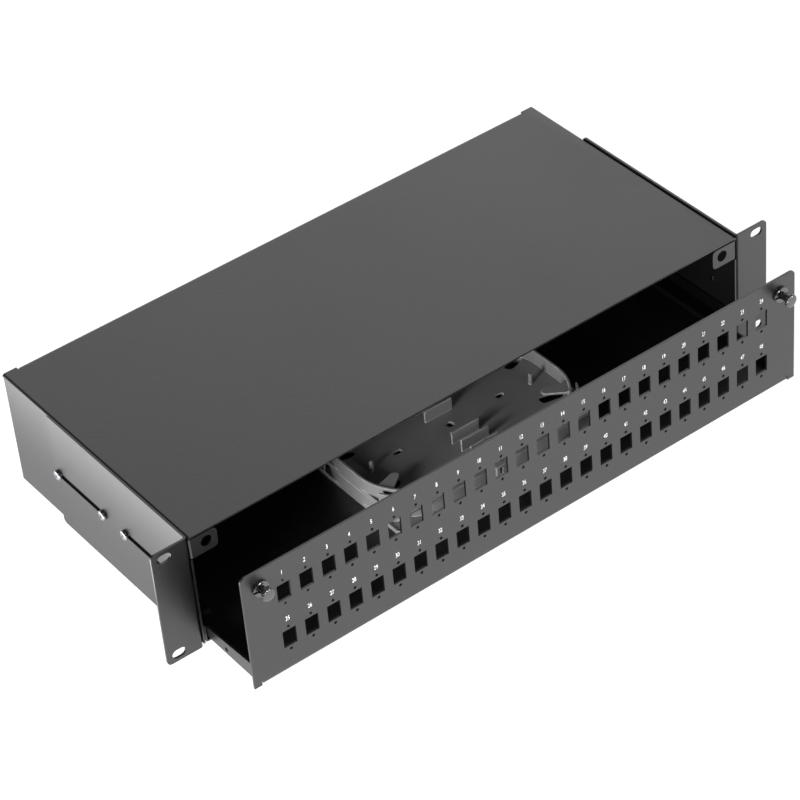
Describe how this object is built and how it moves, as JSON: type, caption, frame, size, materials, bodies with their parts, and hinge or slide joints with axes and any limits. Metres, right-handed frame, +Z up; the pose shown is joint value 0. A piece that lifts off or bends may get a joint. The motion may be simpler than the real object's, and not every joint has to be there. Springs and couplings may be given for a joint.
{
  "type": "fiber patch panel",
  "caption": "Rack-mount fiber patch panel: a folded steel box with rack ears and a sliding drawer whose front panel has rows of adapter openings, with splice trays inside.",
  "frame": {"origin": "centre of the housing's underside", "axes": "+X to the right seen from the front, +Y from the front panel to the rear, +Z up"},
  "size_m": [0.4826, 0.2749, 0.0911],
  "materials": {
    "black_steel": "fine-textured black powder coat",
    "black_plastic": "glossy nylon",
    "grey_plastic": "satin moulded",
    "rubber": "matte",
    "zinc": "zinc plated"
  },
  "bodies": {
    "housing": {"housing_shell": "black_steel", "housing_base": "black_steel", "drawer_guide_left": "black_steel", "drawer_guide_right": "black_steel", "bracket_left": "black_steel", "bracket_right": "black_steel", "bracket_screw_left_1": "zinc", "bracket_screw_left_2": "zinc", "bracket_screw_left_3": "zinc", "bracket_screw_left_4": "zinc", "bracket_screw_right_1": "zinc", "bracket_screw_right_2": "zinc", "bracket_screw_right_3": "zinc", "bracket_screw_right_4": "zinc", "cable_grommet_left": "rubber", "cable_grommet_right": "rubber", "blanking_plug_left": "black_plastic", "blanking_plug_right": "black_plastic", "tie_mount_left": "black_plastic", "tie_mount_right": "black_plastic"},
    "drawer": {"drawer_tray": "black_steel", "latch_grommet_left": "black_plastic", "latch_grommet_right": "black_plastic", "splice_tray_lower": "grey_plastic", "splice_tray_upper": "grey_plastic", "tray_screw": "zinc"},
    "latch_left": {"latch_plunger_left": "black_plastic"},
    "latch_right": {"latch_plunger_right": "black_plastic"}
  },
  "joints": [
    {"name": "drawer_slide", "type": "slide", "parent": "housing", "child": "drawer", "axis": [0, -1, 0], "range_m": [-0.05245, 0.098]},
    {"name": "latch_left_pull", "type": "slide", "parent": "drawer", "child": "latch_left", "axis": [0, -1, 0], "range_m": [-0.0035, 0.0025]},
    {"name": "latch_right_pull", "type": "slide", "parent": "drawer", "child": "latch_right", "axis": [0, -1, 0], "range_m": [-0.0055, 0.0005]}
  ]
}
